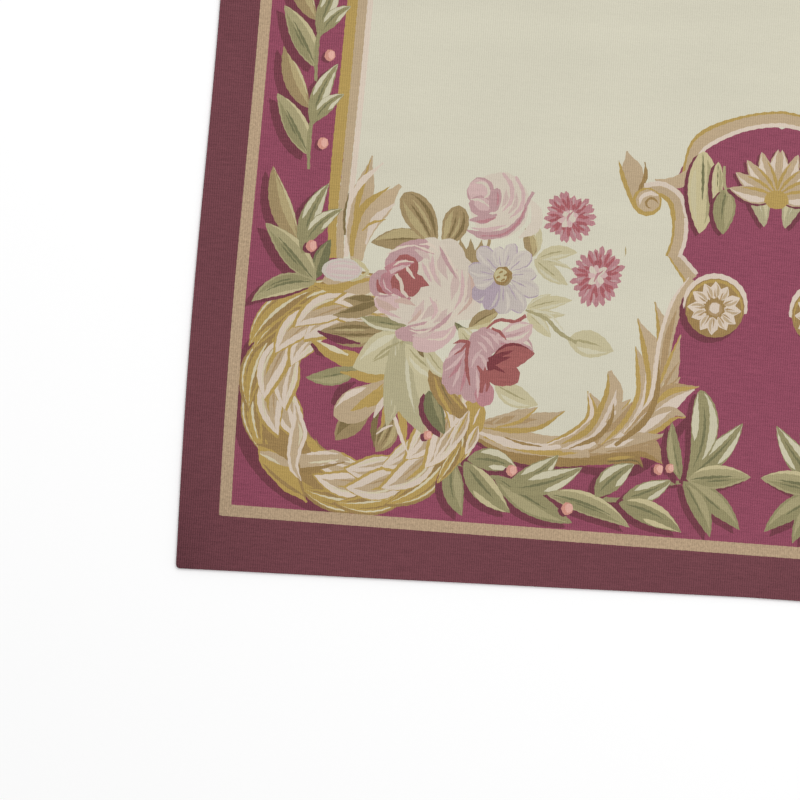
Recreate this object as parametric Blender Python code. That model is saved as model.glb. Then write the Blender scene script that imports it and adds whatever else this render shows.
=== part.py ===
# Flat tapestry-woven rug, one piece of cloth lying on the floor.
# Metres, +Z up. The origin is under the middle of the rug, on the floor.
# X runs along an end of the rug, Y along its long sides, parallel to the warps.
import math

import bmesh
import bpy

# Driving dimensions
FIELD_WIDTH = 1.134  # between the outer sides of the two long guard stripes
FIELD_LENGTH = 1.728  # between the outer sides of the two end guard stripes
SIDE_BAND = 0.043  # plain outer band along each long side
THICKNESS = 0.003  # weft-faced wool on a cotton warp
CORNER_RADIUS = 0.004  # where the turned hem rounds each corner
RIM_RADIUS = 0.0011  # soft rounding of the hem, above and below

# The loom lets the warps wander: the long sides sway a little from straight.
SWAY = 0.0027
SWAY_WAVELENGTH = 0.80
SWAY_WIDEST_AT = -0.694  # where the left side bulges most, measured along Y

# Depth of the plain band at each end, at five places across the rug.
# Columns: share of the half width from the middle, near end, far end
END_BAND = (
    (-1.0, 0.0600, 0.0500),
    (-0.5, 0.0526, 0.0470),
    (0.0, 0.0451, 0.0480),
    (0.5, 0.0440, 0.0520),
    (1.0, 0.0470, 0.0570),
)

CELLS_ACROSS = 36
CELLS_ALONG = 54
CORNER_STEPS = 5
RIM_STEPS = 3
ROUND_PROFILE = 0.5  # a bevel with the section of a circle
CORNER_SHARE = 0.999  # grid points past this share both ways are the four corners
UPRIGHT_LIMIT = 0.5  # faces whose normal rises less than this stand on edge
SMOOTH_UP_TO = math.radians(35)

HALF_WIDTH = FIELD_WIDTH / 2 + SIDE_BAND
WOOL_COLOUR = (0.42, 0.27, 0.24, 1.0)
WOOL_ROUGHNESS = 0.92


def clear_scene():
    for obj in list(bpy.data.objects):
        bpy.data.objects.remove(obj)


def band_depth(across, column):
    """Depth of an end's plain band at a share of the half width, -1 to 1."""
    for left, right in zip(END_BAND, END_BAND[1:]):
        if across <= right[0]:
            share = (across - left[0]) / (right[0] - left[0])
            return left[column] + (right[column] - left[column]) * share
    return END_BAND[-1][column]


def sway(y):
    turns = (y - SWAY_WIDEST_AT) / SWAY_WAVELENGTH
    return -SWAY * math.cos(2 * math.pi * turns)


def woven_place(across, along):
    """Where a point of the square-cut cloth lies, from its shares -1 to 1."""
    column = 1 if along < 0 else 2
    end = FIELD_LENGTH / 2 + band_depth(across, column)
    y = along * end
    return across * HALF_WIDTH + sway(y), y


def flat_cloth():
    """The rug's outline as one flat grid, with its four corners rounded."""
    bm = bmesh.new()
    bmesh.ops.create_grid(bm, x_segments=CELLS_ACROSS, y_segments=CELLS_ALONG, size=1.0)
    corners = [v for v in bm.verts if min(abs(v.co.x), abs(v.co.y)) > CORNER_SHARE]
    for vertex in bm.verts:
        vertex.co.x, vertex.co.y = woven_place(vertex.co.x, vertex.co.y)
    bmesh.ops.bevel(
        bm,
        geom=corners,
        affect="VERTICES",
        offset=CORNER_RADIUS,
        offset_type="OFFSET",
        segments=CORNER_STEPS,
        profile=ROUND_PROFILE,
        material=-1,
    )
    return bm


def thickened(bm):
    """Gives the flat cloth its thickness and rounds the rim above and below."""
    result = bmesh.ops.extrude_face_region(bm, geom=list(bm.faces))
    top = [item for item in result["geom"] if isinstance(item, bmesh.types.BMVert)]
    bmesh.ops.translate(bm, verts=top, vec=(0, 0, THICKNESS))
    bmesh.ops.recalc_face_normals(bm, faces=list(bm.faces))
    rim = [e for e in bm.edges if len(e.link_faces) == 2 and is_rim(e)]
    bmesh.ops.bevel(
        bm,
        geom=rim,
        affect="EDGES",
        offset=RIM_RADIUS,
        offset_type="OFFSET",
        segments=RIM_STEPS,
        profile=ROUND_PROFILE,
        material=-1,
    )
    return bm


def is_rim(edge):
    """True on the two loops where the flat faces meet the upright edge."""
    upright = [abs(face.normal.z) < UPRIGHT_LIMIT for face in edge.link_faces]
    return upright[0] != upright[1]


def wool_material():
    material = bpy.data.materials.new("wool")
    material.use_nodes = True
    shader = material.node_tree.nodes["Principled BSDF"]
    shader.inputs["Base Color"].default_value = WOOL_COLOUR
    shader.inputs["Roughness"].default_value = WOOL_ROUGHNESS
    shader.inputs["Metallic"].default_value = 0.0
    return material


def add_object(name, bm, material):
    mesh = bpy.data.meshes.new(name)
    bm.to_mesh(mesh)
    bm.free()
    mesh.materials.append(material)
    mesh.shade_smooth()
    mesh.set_sharp_from_angle(angle=SMOOTH_UP_TO)
    obj = bpy.data.objects.new(name, mesh)
    bpy.context.scene.collection.objects.link(obj)
    return obj


def main():
    clear_scene()
    add_object("rug", thickened(flat_cloth()), wool_material())


main()
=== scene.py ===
import math
import random

import bmesh
import bpy
from mathutils import Matrix, Vector
from mathutils.geometry import delaunay_2d_cdt


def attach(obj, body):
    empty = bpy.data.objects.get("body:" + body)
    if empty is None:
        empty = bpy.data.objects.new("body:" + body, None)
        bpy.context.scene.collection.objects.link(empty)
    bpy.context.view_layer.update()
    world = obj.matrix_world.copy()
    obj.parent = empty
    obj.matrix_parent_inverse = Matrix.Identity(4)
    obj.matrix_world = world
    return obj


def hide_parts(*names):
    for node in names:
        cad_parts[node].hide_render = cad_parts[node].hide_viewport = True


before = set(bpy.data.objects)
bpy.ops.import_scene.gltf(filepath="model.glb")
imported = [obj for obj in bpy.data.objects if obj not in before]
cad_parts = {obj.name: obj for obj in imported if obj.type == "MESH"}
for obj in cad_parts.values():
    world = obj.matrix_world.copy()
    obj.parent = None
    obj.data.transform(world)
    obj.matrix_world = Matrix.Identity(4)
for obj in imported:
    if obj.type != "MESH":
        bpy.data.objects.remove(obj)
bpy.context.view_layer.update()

chance = random.Random(41)

# The cloth, in metres
cloth = {
    "fieldWidth": 1.134,  # between the outer sides of the guard stripes
    "fieldLength": 1.728,
    "sideBand": 0.043,
    "thickness": 0.003,
    "cornerRadius": 0.004,
    "rim": 0.0011,  # soft rounding of the hem
    "sway": 0.0027,  # how far the warps wander from straight
    "swayWave": 0.80,
    "swayWidest": -0.694,
    "swayReach": 0.12,  # fades out this far inside the side bands
    # share of the half width, depth of the near and of the far end band
    "endBands": [
        (-1.0, 0.0600, 0.0500),
        (-0.5, 0.0526, 0.0470),
        (0.0, 0.0451, 0.0480),
        (0.5, 0.0440, 0.0520),
        (1.0, 0.0470, 0.0570),
    ],
    "gridStep": 2.0,  # centimetres between the plain inner points
    # in centimetres: a woven outline's steps and their depth, the smallest shape, the shortest edge
    "faceCut": (0.43, 0.045, 0.02, 0.13),
    "backCut": (1.4, 0.0, 2.5, 0.5),
}

# Yarns, as they look in plain daylight, 0 to 255
yarns = {
    "band": (112, 66, 73),
    "stripe": (178, 154, 126),
    "crimson": (141, 74, 93),
    "shade": (112, 61, 71),
    "ivory": (207, 203, 184),
    "ochre": (174, 147, 86),
    "bronze": (150, 123, 80),
    "tan": (166, 140, 104),
    "beige": (181, 160, 130),
    "blush": (207, 192, 176),
    "petal": (202, 191, 175),
    "softPink": (194, 173, 164),
    "orchid": (197, 177, 172),
    "salmon": (216, 166, 152),
    "cerise": (161, 93, 97),
    "pearl": (197, 188, 177),
    "taupe": (189, 163, 150),
    "khaki": (173, 157, 116),
    "cream": (203, 193, 165),
    "frost": (198, 192, 166),
    "straw": (190, 179, 140),
    "moss": (162, 153, 116),
    "sage": (144, 137, 101),
    "fern": (115, 113, 82),
    "umber": (153, 133, 97),
    "bark": (123, 106, 72),
    "celadon": (190, 181, 147),
    "mist": (172, 164, 131),
    "pink": (198, 170, 166),
    "mauve": (181, 147, 147),
    "dusk": (176, 126, 130),
    "brick": (153, 92, 89),
    "wine": (120, 62, 66),
    "lilac": (188, 178, 171),
    "heather": (170, 154, 163),
    "coral": (199, 142, 127),
}


# Drawing the pattern, in centimetres from the guard stripe's outer corner

shapes = []  # yarn and outline, in the order they are laid
drawStep = 0.15  # centimetres between the points of a smooth line


def turnedArea(outline):
    return sum(a.x * b.y - b.x * a.y for a, b in zip(outline, outline[1:] + outline[:1])) / 2


def paint(yarn, outline):
    outline = [Vector(point) for point in outline]
    if turnedArea(outline) < 0:
        outline.reverse()
    shapes.append((yarn, outline))


def blended(values, share):  # value at a share of the way along a short list
    place = min(max(share, 0), 0.9999) * (len(values) - 1)
    at = int(place)
    part = place - at
    part = part * part * (3 - 2 * part)
    return values[at] + (values[at + 1] - values[at]) * part


def through(points, closed=False):  # smooth line through a few points
    points = [Vector(point) for point in points]
    if closed:
        points = points[-1:] + points + points[:2]
    else:
        points = [points[0] * 2 - points[1]] + points + [points[-1] * 2 - points[-2]]
    line = []
    for a, b, c, d in zip(points, points[1:], points[2:], points[3:]):
        pieces = max(2, round((c - b).length / drawStep))
        for i in range(pieces):
            t = i / pieces
            curve = (a * 2 - b * 5 + c * 4 - d) * t * t + (b * 3 - a - c * 3 + d) * t ** 3
            line.append((b * 2 + (c - a) * t + curve) / 2)
    if not closed:
        line.append(points[-2])
    return line


def stroke(yarn, points, widths):  # a brush stroke through a few points
    line = through(points)
    last = len(line) - 1
    left, right = [], []
    for i, point in enumerate(line):
        ahead = (line[min(i + 1, last)] - line[max(i - 1, 0)]).normalized()
        side = Vector((-ahead.y, ahead.x)) * blended(widths, i / last) / 2
        left.append(point + side)
        if side.length > 0.01:  # a sharp tip is one point
            right.append(point - side)
    paint(yarn, left + right[::-1])


def patch(yarn, points):  # a closed smooth shape through a few points
    paint(yarn, through(points, closed=True))


def blob(yarn, centre, wide, tall, turn=0.0, lobes=0, depth=0.0, spin=0.0):
    turn = math.radians(turn)
    steps = max(14, int((wide + tall) * 16), lobes * 6)
    outline = []
    for i in range(steps):
        angle = 2 * math.pi * i / steps
        reach = 1 - depth * (0.5 + 0.5 * math.cos(lobes * (angle + spin)))
        x, y = wide * reach * math.cos(angle), tall * reach * math.sin(angle)
        outline.append((centre[0] + x * math.cos(turn) - y * math.sin(turn),
                        centre[1] + x * math.sin(turn) + y * math.cos(turn)))
    paint(yarn, outline)


class Blade:  # a leaf or petal: a bent middle line, and how wide it is along it
    def __init__(self, base, tip, width, bend=0.0, fullAt=0.45, blunt=0.85):
        self.base, self.tip, self.width, self.blunt = Vector(base), Vector(tip), width, blunt
        run = self.tip - self.base
        self.length = run.length
        self.middle = (self.base + self.tip) / 2 + Vector((-run.y, run.x)) * bend * 2
        self.power = math.log(0.5) / math.log(fullAt)

    def at(self, along, side=0.0):
        rest = 1 - along
        point = self.base * rest * rest + self.middle * 2 * along * rest + self.tip * along * along
        ahead = ((self.middle - self.base) * rest + (self.tip - self.middle) * along).normalized()
        half = self.width / 2 * math.sin(math.pi * along ** self.power) ** self.blunt if 0 < along < 1 else 0
        return point + Vector((-ahead.y, ahead.x)) * half * side

    def outline(self, shift=(0, 0)):
        steps = max(9, int(self.length / drawStep))
        left = [self.at(i / steps, 1) for i in range(steps + 1)]
        right = [self.at(i / steps, -1) for i in range(steps - 1, 0, -1)]
        return [point + Vector(shift) for point in left + right]

    def shadow(self, reach):  # the light falls from the upper right
        paint("shade", self.outline((-reach, -reach * 0.75)))

    def streak(self, yarn, side, start, end, share):
        steps = max(7, int(self.length * (end - start) / drawStep))
        left, right = [], []
        for i in range(steps + 1):
            part = i / steps
            along = start + (end - start) * part
            half = share * math.sin(math.pi * part ** 0.8) ** 0.9 if 0 < part < 1 else 0
            left.append(self.at(along, min(side + half, 1)))
            if half > 0:
                right.append(self.at(along, max(side - half, -1)))
        paint(yarn, left + right[::-1])


# Side 1 is the left of the way from base to tip: yarn, side, start, end, half width share
leafLooks = {
    "laurel": ("moss", [("sage", -0.5, 0.04, 0.95, 0.4), ("straw", 0.86, 0.12, 0.99, 0.18),
                        ("fern", -0.05, 0.03, 0.78, 0.13), ("fern", -0.35, 0.3, 0.7, 0.08)]),
    "frosted": ("sage", [("frost", 0.64, 0.25, 1.0, 0.3), ("frost", -0.66, 0.42, 1.0, 0.27),
                         ("fern", 0.0, 0.1, 0.85, 0.11)]),
    "edged": ("sage", [("straw", 0.74, 0.1, 1.0, 0.26), ("straw", -0.72, 0.4, 1.0, 0.24),
                       ("fern", 0.05, 0.1, 0.7, 0.12)]),
    "olive": ("sage", [("moss", 0.42, 0.1, 0.96, 0.4), ("fern", -0.15, 0.05, 0.7, 0.1)]),
    "dark": ("fern", [("sage", 0.45, 0.1, 0.95, 0.3)]),
    "dull": ("umber", [("khaki", -0.42, 0.04, 0.97, 0.4), ("straw", -0.9, 0.15, 1.0, 0.12)]),
    "umber": ("umber", [("khaki", 0.5, 0.08, 0.94, 0.26), ("bark", 0.08, 0.03, 0.86, 0.1),
                        ("bark", -0.62, 0.15, 0.92, 0.14), ("khaki", -0.28, 0.25, 0.85, 0.1)]),
    "halved": ("umber", [("khaki", -0.5, 0.02, 0.99, 0.46), ("bark", -0.02, 0.08, 0.8, 0.09)]),
    "bark": ("umber", [("bark", -0.4, 0.02, 0.97, 0.5)]),
    "pale": ("celadon", [("moss", 0.1, 0.05, 0.75, 0.1), ("frost", -0.55, 0.2, 0.9, 0.2)]),
    "misty": ("mist", [("celadon", 0.5, 0.05, 0.95, 0.35), ("frost", -0.1, 0.05, 0.8, 0.1)]),
    "faint": ("celadon", [("frost", 0.5, 0.1, 0.98, 0.3), ("moss", 0.0, 0.05, 0.6, 0.06)]),
    "palm": ("straw", [("moss", 0.5, 0.1, 0.9, 0.26), ("fern", 0.0, 0.0, 0.62, 0.1),
                       ("celadon", -0.6, 0.2, 0.95, 0.2)]),
    "scaleOuter": ("ochre", [("bronze", 0.5, 0.0, 0.94, 0.34), ("cream", 0.12, 0.1, 0.99, 0.13),
                             ("bronze", -0.55, 0.0, 0.8, 0.1), ("cream", -0.85, 0.3, 0.95, 0.08)]),
    "scaleMiddle": ("blush", [("beige", 0.0, 0.0, 0.92, 0.6), ("ochre", -0.2, 0.0, 0.7, 0.2),
                              ("tan", 0.3, 0.05, 0.78, 0.08), ("cream", -0.5, 0.2, 0.9, 0.08)]),
    "scaleInner": ("blush", [("beige", -0.3, 0.0, 0.9, 0.34), ("beige", 0.38, 0.1, 0.8, 0.14),
                             ("ochre", -0.1, 0.0, 0.5, 0.1), ("cream", 0.7, 0.1, 0.92, 0.12)]),
    "creamy": ("beige", [("blush", 0.45, 0.15, 0.99, 0.4), ("ochre", -0.75, 0.05, 0.8, 0.2)]),
}


def leaf(look, base, tip, width, bend=0.0, hand=1, fullAt=0.45, shadow=0.0, blunt=0.85):
    blade = Blade(base, tip, width, bend, fullAt, blunt)
    if shadow:
        blade.shadow(shadow)
    body, streaks = leafLooks[look]
    paint(body, blade.outline())
    for yarn, side, start, end, share in streaks:
        blade.streak(yarn, side * hand + chance.uniform(-0.05, 0.05), start, end, share)


def spray(rows, shadow):  # all the shadows first, so that none falls on a leaf
    for look, base, tip, width, bend, hand in rows:
        Blade(base, tip, width, bend).shadow(shadow)
    for row in rows:
        leaf(*row)


def ringPoint(centre, radius, angle):
    angle = math.radians(angle)
    return Vector((centre[0] + radius * math.cos(angle), centre[1] + radius * math.sin(angle)))


ground = {
    "beyond": (60, 90),  # past the middle of the rug, where the quarter is cut off
    "stripe": 1.25,
}


def drawGround():
    right, top = ground["beyond"]
    paint("crimson", [(0.1, 0.1), (right, 0.1), (right, top), (0.1, top)])
    patch("ivory", [(11.5, 60), (11.0, 46), (10.2, 36), (10.5, 29), (15, 22), (23, 14), (30, 10.9),
                    (35, 9.8), (38, 11.4), (43.5, 16), (45.6, 23), (48.0, 28.4), (46.2, 31.3), (46.6, 35),
                    (46.0, 39.5), (48.5, 43.5), (54, 46), (62, 47), (70, 70), (60, 100), (12, 100)])


def drawStripe():  # the guard stripe lies outside everything, shadows too
    right, top = ground["beyond"]
    width = ground["stripe"]
    paint("stripe", [(0, 0), (right, 0), (right, width), (width, width), (width, top), (0, top)])


wreath = {
    "centre": (14.3, 14.2),
    "reach": 46,  # degrees from a leaf's base to its tip
    "curl": 7.5,  # the smaller, the more a leaf bends with the ring
    "rimWidth": 0.4,  # centimetres of darker yarn round a leaf
    "rimPast": 1.8,  # degrees of it past the tip
    # leaves on both sides point at the ribbon in the lower left; degrees of their tips
    "sides": [(1, (215, 189, 163, 137, 111)), (-1, (240, 264, 289, 313, 337))],
    # radius of the tips, of the bases, width, look, yarn round the leaf, turn against the others
    "rows": [
        (12.25, 11.3, 2.1, "scaleOuter", "bronze", 2),
        (8.25, 8.1, 2.6, "scaleInner", "ochre", 4),
        (10.2, 9.6, 2.9, "scaleMiddle", "ochre", 0),
    ],
}


def drawWreath():
    centre = wreath["centre"]
    stroke("shade", [ringPoint((13.1, 13.2), 10.0, a) for a in range(112, 312, 8)],
           [1.6, 5.4, 5.4, 5.0, 1.2])
    stroke("bronze", [ringPoint(centre, 9.9, a) for a in range(98, 348, 9)],
           [1.5, 4.9, 5.3, 5.4, 5.3, 4.9, 1.5])
    stroke("ochre", [ringPoint(centre, 12.0, a) for a in range(110, 330, 8)], [0.3, 1.1, 1.2, 1.1, 0.3])
    for way, tips in wreath["sides"]:
        for tip in tips:
            for tipRadius, baseRadius, width, look, rim, ahead in wreath["rows"]:
                turn = tip + way * ahead + chance.uniform(-5, 5)
                base = ringPoint(centre, baseRadius, turn - way * wreath["reach"])
                end = ringPoint(centre, tipRadius + chance.uniform(-0.2, 0.2), turn)
                width *= chance.uniform(0.88, 1.1)
                bend = -way * math.radians(wreath["reach"]) / wreath["curl"]
                beyond = ringPoint(centre, tipRadius, turn + way * wreath["rimPast"])
                paint(rim, Blade(base, beyond, width + wreath["rimWidth"], bend, 0.5, 0.95).outline())
                leaf(look, base, end, width, bend, hand=way, fullAt=0.5, blunt=0.95)
    leaf("scaleOuter", (8.9, 25.0), (2.0, 18.2), 2.5, -0.13, fullAt=0.5, blunt=0.95)
    # the ribbon that ties the leaves
    stroke("ochre", [(3.6, 8.4), (5.0, 6.3), (7.0, 4.4), (9.2, 2.1)], [0.4, 2.2, 2.3, 0.2])
    stroke("bronze", [(4.2, 6.0), (5.6, 4.7), (7.4, 3.5), (9.0, 2.7)], [0.1, 0.35, 0.4, 0.1])
    stroke("bronze", [(3.5, 7.9), (4.9, 7.7), (6.7, 7.2)], [0.2, 0.5, 0.4])
    stroke("beige", [(3.9, 7.1), (4.9, 6.8), (6.2, 6.3), (7.4, 5.8)], [0.2, 1.0, 0.9, 0.3])
    stroke("cream", [(3.9, 6.9), (5.0, 6.5), (6.2, 5.9)], [0.1, 0.3, 0.1])
    stroke("ochre", [(8.5, 9.3), (9.5, 8.2), (10.8, 7.7)], [0.3, 1.0, 0.2])
    stroke("bronze", [(9.6, 9.0), (10.2, 8.1), (11.2, 7.7)], [0.1, 0.2, 0.1])
    stroke("beige", [(8.1, 6.4), (10.0, 6.8), (11.6, 7.3), (13.4, 6.9)], [1.5, 1.5, 1.2, 0.2])
    stroke("blush", [(8.8, 7.2), (10.6, 7.5), (12.3, 7.5)], [0.2, 0.4, 0.1])
    stroke("cream", [(9.0, 6.3), (10.4, 6.5), (12.2, 6.9)], [0.1, 0.25, 0.1])
    stroke("bronze", [(8.0, 5.4), (10.4, 5.9), (12.9, 6.7)], [0.45, 0.35, 0.1])
    stroke("bronze", [(7.9, 5.6), (8.6, 3.6), (9.1, 2.2)], [0.5, 0.3, 0.1])
    ribbon = [(7.2, 12.6), (7.6, 11.2), (7.8, 9.4), (7.5, 7.4), (7.6, 5.7), (8.5, 4.3)]
    stroke("blush", ribbon, [0.3, 1.1, 1.9, 1.5, 1.0, 0.1])
    stroke("beige", ribbon, [0.05, 0.3, 1.1, 0.8, 0.4, 0.05])
    stroke("cream", [(7.7, 10.6), (8.1, 9.4), (7.9, 8.0)], [0.1, 0.35, 0.1])


def drawLaurels():
    # look, base, tip, width, bend, hand
    spray([
        ("dull", (6.2, 29.7), (2.9, 37.6), 2.3, 0.06, 1),
        ("frosted", (6.7, 28.8), (9.0, 36.2), 2.1, 0.07, -1),
        ("frosted", (6.9, 29.4), (10.7, 33.6), 1.7, 0.10, 1),
        ("dark", (8.5, 25.9), (9.7, 30.3), 1.7, 0.06, 1),
        ("laurel", (8.4, 25.6), (2.6, 31.5), 2.7, -0.03, -1),
        ("laurel", (8.5, 25.5), (1.9, 23.0), 2.2, -0.12, 1),
    ], 0.8)
    stroke("sage", [(6.9, 31.4), (6.6, 30.0), (6.9, 28.5)], [0.2, 0.6, 0.4])
    # the same laurel goes on up the side of the field
    for step in range(5):
        v = 41.0 + step * 9.4
        spray([
            ("dull", (6.2, v + 3.0), (3.0, v + 9.6), 2.1, 0.06, 1),
            ("frosted", (6.7, v + 1.2), (9.0, v + 8.0), 2.0, 0.07, -1),
            ("frosted", (6.9, v + 1.6), (9.9, v + 4.8), 1.6, 0.10, 1),
            ("laurel", (6.6, v - 2.0), (2.6, v + 4.4), 2.5, -0.03, -1),
        ], 0.8)
        stroke("sage", [(6.7, v - 3.5), (6.5, v), (6.8, v + 3.5)], [0.3, 0.5, 0.2])
        berry((8.0, v - 0.6), 0.6)
    # along the end
    stem = [(25.0, 7.3), (28.2, 6.5), (31, 5.8), (34.5, 5.0), (39, 4.9), (42.6, 4.9), (45.6, 6.4),
            (49.0, 7.3)]
    stroke("shade", [(u - 0.6, v - 0.45) for u, v in stem], [0.5, 0.6, 0.5, 0.4])
    stroke("sage", stem, [0.5, 0.6, 0.5, 0.4])
    spray([
        ("olive", (24.5, 7.6), (25.8, 1.9), 2.3, -0.09, 1),
        ("edged", (25.6, 7.7), (30.9, 2.6), 2.7, -0.05, 1),
        ("frosted", (25.9, 7.9), (31.3, 7.2), 2.4, 0.10, 1),
        ("olive", (28.9, 6.4), (37.6, 2.0), 2.7, -0.04, -1),
        ("frosted", (30.4, 5.6), (35.6, 9.2), 2.2, -0.08, 1),
        ("frosted", (30.6, 5.2), (38.2, 8.0), 2.5, -0.06, 1),
        ("laurel", (34.6, 4.9), (43.7, 2.0), 2.3, 0.07, 1),
        ("frosted", (39.8, 5.0), (43.7, 8.8), 2.5, 0.06, 1),
        ("frosted", (42.7, 5.0), (47.8, 7.4), 2.2, -0.05, 1),
        ("edged", (42.3, 4.5), (49.2, 1.9), 2.5, 0.06, 1),
    ], 0.7)
    spray([
        ("olive", (49.2, 7.2), (55.4, 2.6), 2.3, 0.06, 1),
        ("olive", (49.0, 7.4), (52.3, 1.6), 2.0, 0.06, 1),
        ("frosted", (49.2, 7.6), (54.9, 14.0), 2.5, -0.05, 1),
        ("laurel", (49.4, 7.5), (56.2, 8.3), 2.5, 0.03, 1),
        ("olive", (48.8, 7.4), (47.4, 13.6), 1.5, 0.05, 1),
    ], 0.6)
    leaf("frosted", (49.3, 7.6), (50.1, 17.2), 2.9, -0.12, hand=-1, fullAt=0.62, shadow=0.6, blunt=0.6)
    for centre, size in [((30.7, 7.1), 0.6), ((36.9, 3.5), 0.65),
                         ((46.3, 8.4), 0.55), ((47.5, 8.6), 0.5), ((7.7, 29.4), 0.62)]:
        berry(centre, size)


def berry(centre, size):
    blob("shade", (centre[0] - 0.35, centre[1] - 0.25), size, size)
    blob("coral", centre, size, size * 1.1)
    blob("salmon", (centre[0] + size * 0.3, centre[1] + size * 0.1), size * 0.68, size * 0.85)
    blob("blush", (centre[0] + size * 0.4, centre[1] + size * 0.35), size * 0.25, size * 0.3)


def drawSideFrame():
    # gold leaf that the wreath's ribbon springs from, and the moulding above it
    stroke("ochre", [(10.1, 28.3), (9.7, 32), (9.7, 40), (10.2, 60), (10.4, 90)], [0.9, 1.3, 1.4, 1.3, 1.3])
    stroke("beige", [(10.8, 28.3), (10.6, 32), (10.8, 40), (11.2, 60), (11.4, 90)],
           [0.8, 1.0, 1.1, 1.1, 1.1])
    stroke("blush", [(11.4, 28.5), (11.4, 33), (11.6, 40), (12.0, 60), (12.2, 90)],
           [0.5, 0.6, 0.6, 0.6, 0.6])
    stroke("beige", [(12.9, 28.2), (13.0, 31), (14.6, 34), (16.6, 36.6)], [0.6, 1.9, 2.3, 0.5])
    stroke("beige", [(12.2, 28.2), (12.0, 31), (12.5, 34), (13.4, 39.5)], [0.6, 1.6, 2.2, 0.2])
    stroke("blush", [(13.4, 30.0), (14.2, 32.6), (16.2, 34.6)], [0.2, 0.9, 0.2])
    stroke("ochre", [(12.0, 28.6), (12.0, 31), (12.9, 34), (15.6, 36.4)], [0.4, 0.7, 0.7, 0.1])
    stroke("ochre", [(12.9, 31.4), (13.8, 32.3), (15.4, 32.8)], [0.15, 0.3, 0.1])
    stroke("ochre", [(11.9, 31.6), (12.3, 35), (13.2, 39)], [0.2, 0.6, 0.1])
    stroke("bark", [(11.1, 30.8), (10.9, 33), (11.2, 35.4)], [0.25, 0.3, 0.1])
    stroke("blush", [(11.4, 34), (12.3, 36.4), (14.6, 38.8)], [0.2, 0.7, 0.15])


def shifted(points, widths, share):  # points moved sideways by a share of the half width
    points = [Vector(point) for point in points]
    last = len(points) - 1
    moved = []
    for i, point in enumerate(points):
        ahead = (points[min(i + 1, last)] - points[max(i - 1, 0)]).normalized()
        moved.append(point + Vector((-ahead.y, ahead.x)) * share * blended(widths, i / last) / 2)
    return moved


def lobe(points, widths, edge=1, body="beige", rim="ochre", heart="blush"):  # a curling lobe of acanthus
    stroke(body, points, widths)
    stroke(rim, shifted(points, widths, 0.76 * edge), [0.1] + [0.26 * w for w in widths[1:-1]] + [0.1])
    middle = shifted(points, widths, -0.2 * edge)[:-1]
    stroke(heart, middle, [0.1] + [0.45 * w for w in widths[1:-1]] + [0.05])


scroll = [
    # middle line, widths, side of the golden edge, body, edge and heart yarns; the last lie on top
    ([(27.2, 11.8), (30.6, 12.2), (33.2, 12.6), (35.9, 13.9)],
     [1.0, 2.2, 1.8, 0.1], -1, "beige", "ochre", "tan"),
    ([(28.4, 11.8), (30.9, 12.9), (33.0, 14.1)], [0.8, 1.5, 0.1], -1, "beige", "ochre", "tan"),
    ([(34.3, 10.1), (37.0, 11.3), (38.8, 13.4), (38.2, 16.2)],
     [0.5, 1.4, 1.3, 0.1], 1, "blush", "ochre", "beige"),
    ([(39.0, 12.4), (39.6, 14.2), (38.4, 16.0)], [0.8, 1.2, 0.15], 1, "beige", "ochre", "blush"),
    ([(35.8, 9.9), (39.0, 11.2), (40.5, 14.0), (41.0, 16.6), (40.3, 18.5)],
     [1.0, 2.5, 2.5, 2.0, 0.5], 1, "beige", "ochre", "blush"),
    ([(40.6, 12.8), (41.5, 14.4), (42.8, 15.7)], [0.8, 1.1, 0.15], -1, "beige", "ochre", "blush"),
    ([(39.5, 10.6), (41.2, 12.4), (43.0, 15.4)], [1.0, 1.8, 0.1], 1, "tan", "beige", "beige"),
    ([(40.2, 10.2), (42.8, 12.6), (44.2, 15.8), (44.0, 18.6), (42.9, 21.3)],
     [1.0, 2.0, 2.0, 1.8, 0.1], 1, "beige", "ochre", "blush"),
    ([(44.6, 14.0), (45.3, 17.4), (44.8, 20.6), (42.9, 24.3)],
     [1.2, 1.9, 2.2, 0.1], 1, "beige", "ochre", "blush"),
    ([(45.8, 18.6), (45.9, 22.8), (44.6, 26.2)], [1.0, 1.7, 0.1], 1, "beige", "ochre", "blush"),
    ([(42.6, 11.6), (45.3, 14.8), (45.8, 18), (46.0, 22), (46.9, 26), (48.3, 28.9)],
     [1.4, 2.0, 1.7, 1.6, 1.5, 0.9], 1, "beige", "blush", "tan"),
    ([(45.8, 15.8), (46.8, 19.0), (47.6, 22.9)], [1.2, 1.5, 0.1], 1, "beige", "ochre", "cream"),
    ([(46.0, 15.4), (46.9, 17.6), (47.7, 20.1)], [1.0, 1.3, 0.1], 1, "beige", "tan", "cream"),
    ([(46.0, 15.2), (46.9, 16.8), (47.9, 18.4)], [0.8, 1.1, 0.1], 1, "beige", "tan", "cream"),
    ([(42.6, 11.6), (45.2, 14.4), (47.0, 16.7), (50.0, 17.5)],
     [0.8, 1.8, 1.7, 0.1], 1, "ochre", "tan", "ochre"),
    ([(42.8, 11.6), (45.6, 14.0), (47.5, 15.8), (49.5, 17.2)],
     [0.8, 1.9, 1.5, 0.2], 1, "blush", "beige", "blush"),
    ([(42.0, 10.8), (45.4, 13.2), (47.3, 14.6), (48.8, 14.2)],
     [0.8, 2.2, 1.9, 0.2], -1, "beige", "ochre", "blush"),
    ([(38.8, 9.5), (42.6, 10.5), (45.0, 10.7), (47.1, 8.9)],
     [0.8, 2.2, 2.4, 0.2], -1, "tan", "bronze", "beige"),
    ([(40.4, 10.2), (43.6, 11.3), (46.6, 12.1)], [1.0, 1.7, 0.3], -1, "beige", "tan", "blush"),
    ([(40.6, 9.0), (43.7, 9.5), (44.7, 8.4)], [0.6, 0.9, 0.1], -1, "bronze", "bark", "ochre"),
]


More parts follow.
